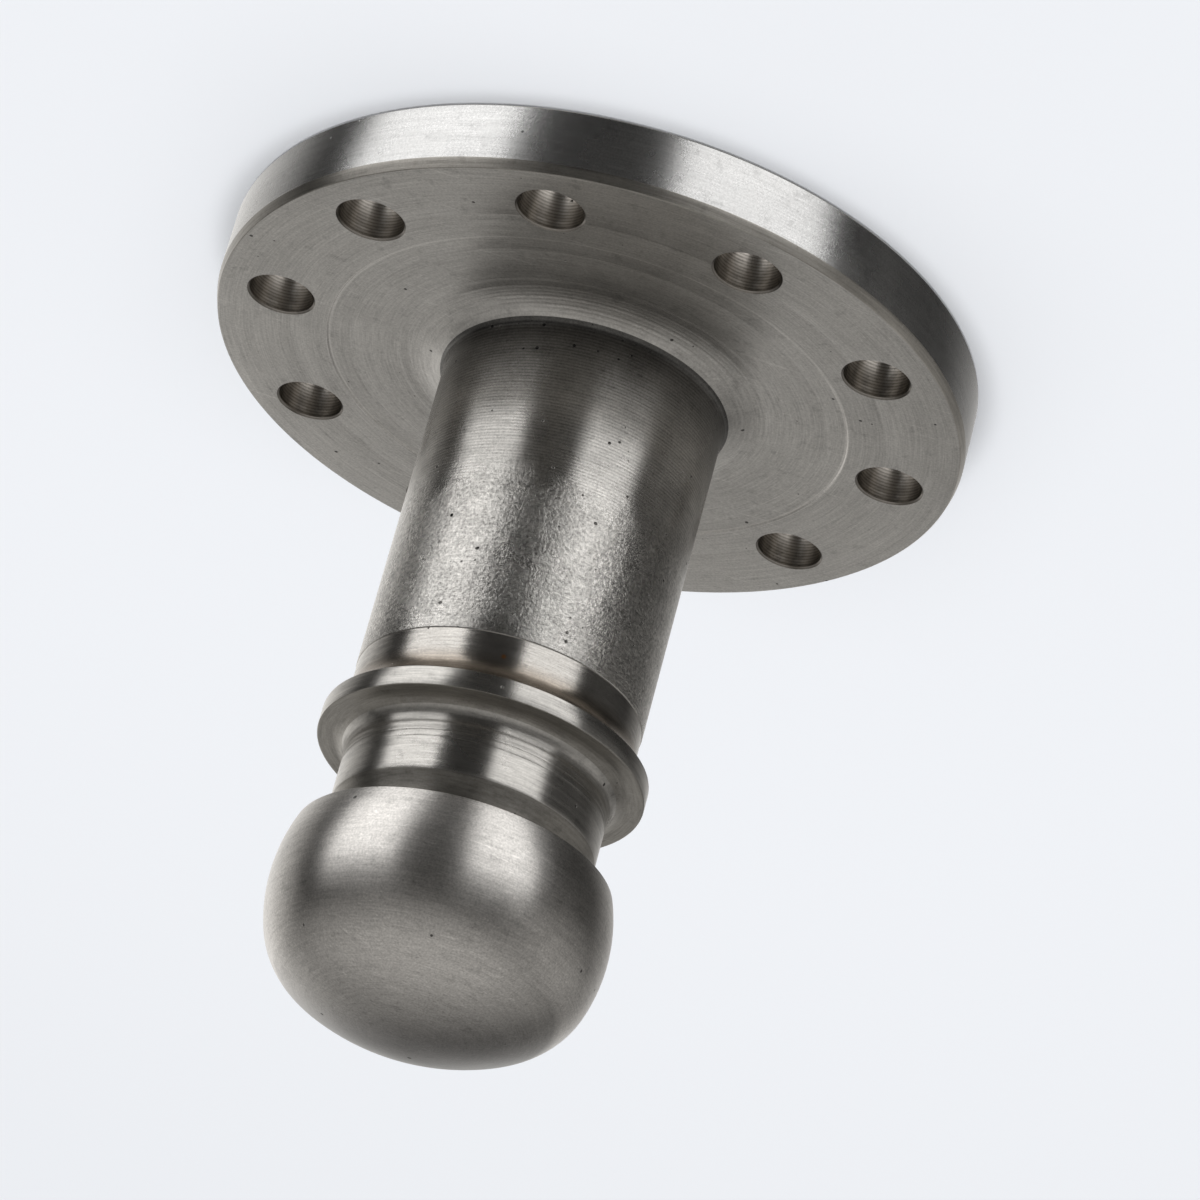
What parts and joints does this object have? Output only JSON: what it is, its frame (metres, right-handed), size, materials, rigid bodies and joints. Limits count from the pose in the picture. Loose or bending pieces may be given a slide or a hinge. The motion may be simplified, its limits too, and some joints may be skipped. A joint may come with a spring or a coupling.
{
  "type": "stepped shaft",
  "caption": "Turned steel stepped shaft: a round bolted flange at one end, a plain shaft, a narrow collar, a grooved neck and a domed head.",
  "frame": {"origin": "centre of the flange's flat back face, which the part stands on", "axes": "+Z along the shaft's axis, from the flange to the domed head; one bolt hole's centre lies on +X"},
  "size_m": [0.15, 0.15, 0.158],
  "materials": {
    "turned_steel": "turned steel, satin, with a rough pitted skin on the shaft's middle"
  },
  "bodies": {
    "root": {"stepped_shaft": "turned_steel"}
  },
  "joints": []
}
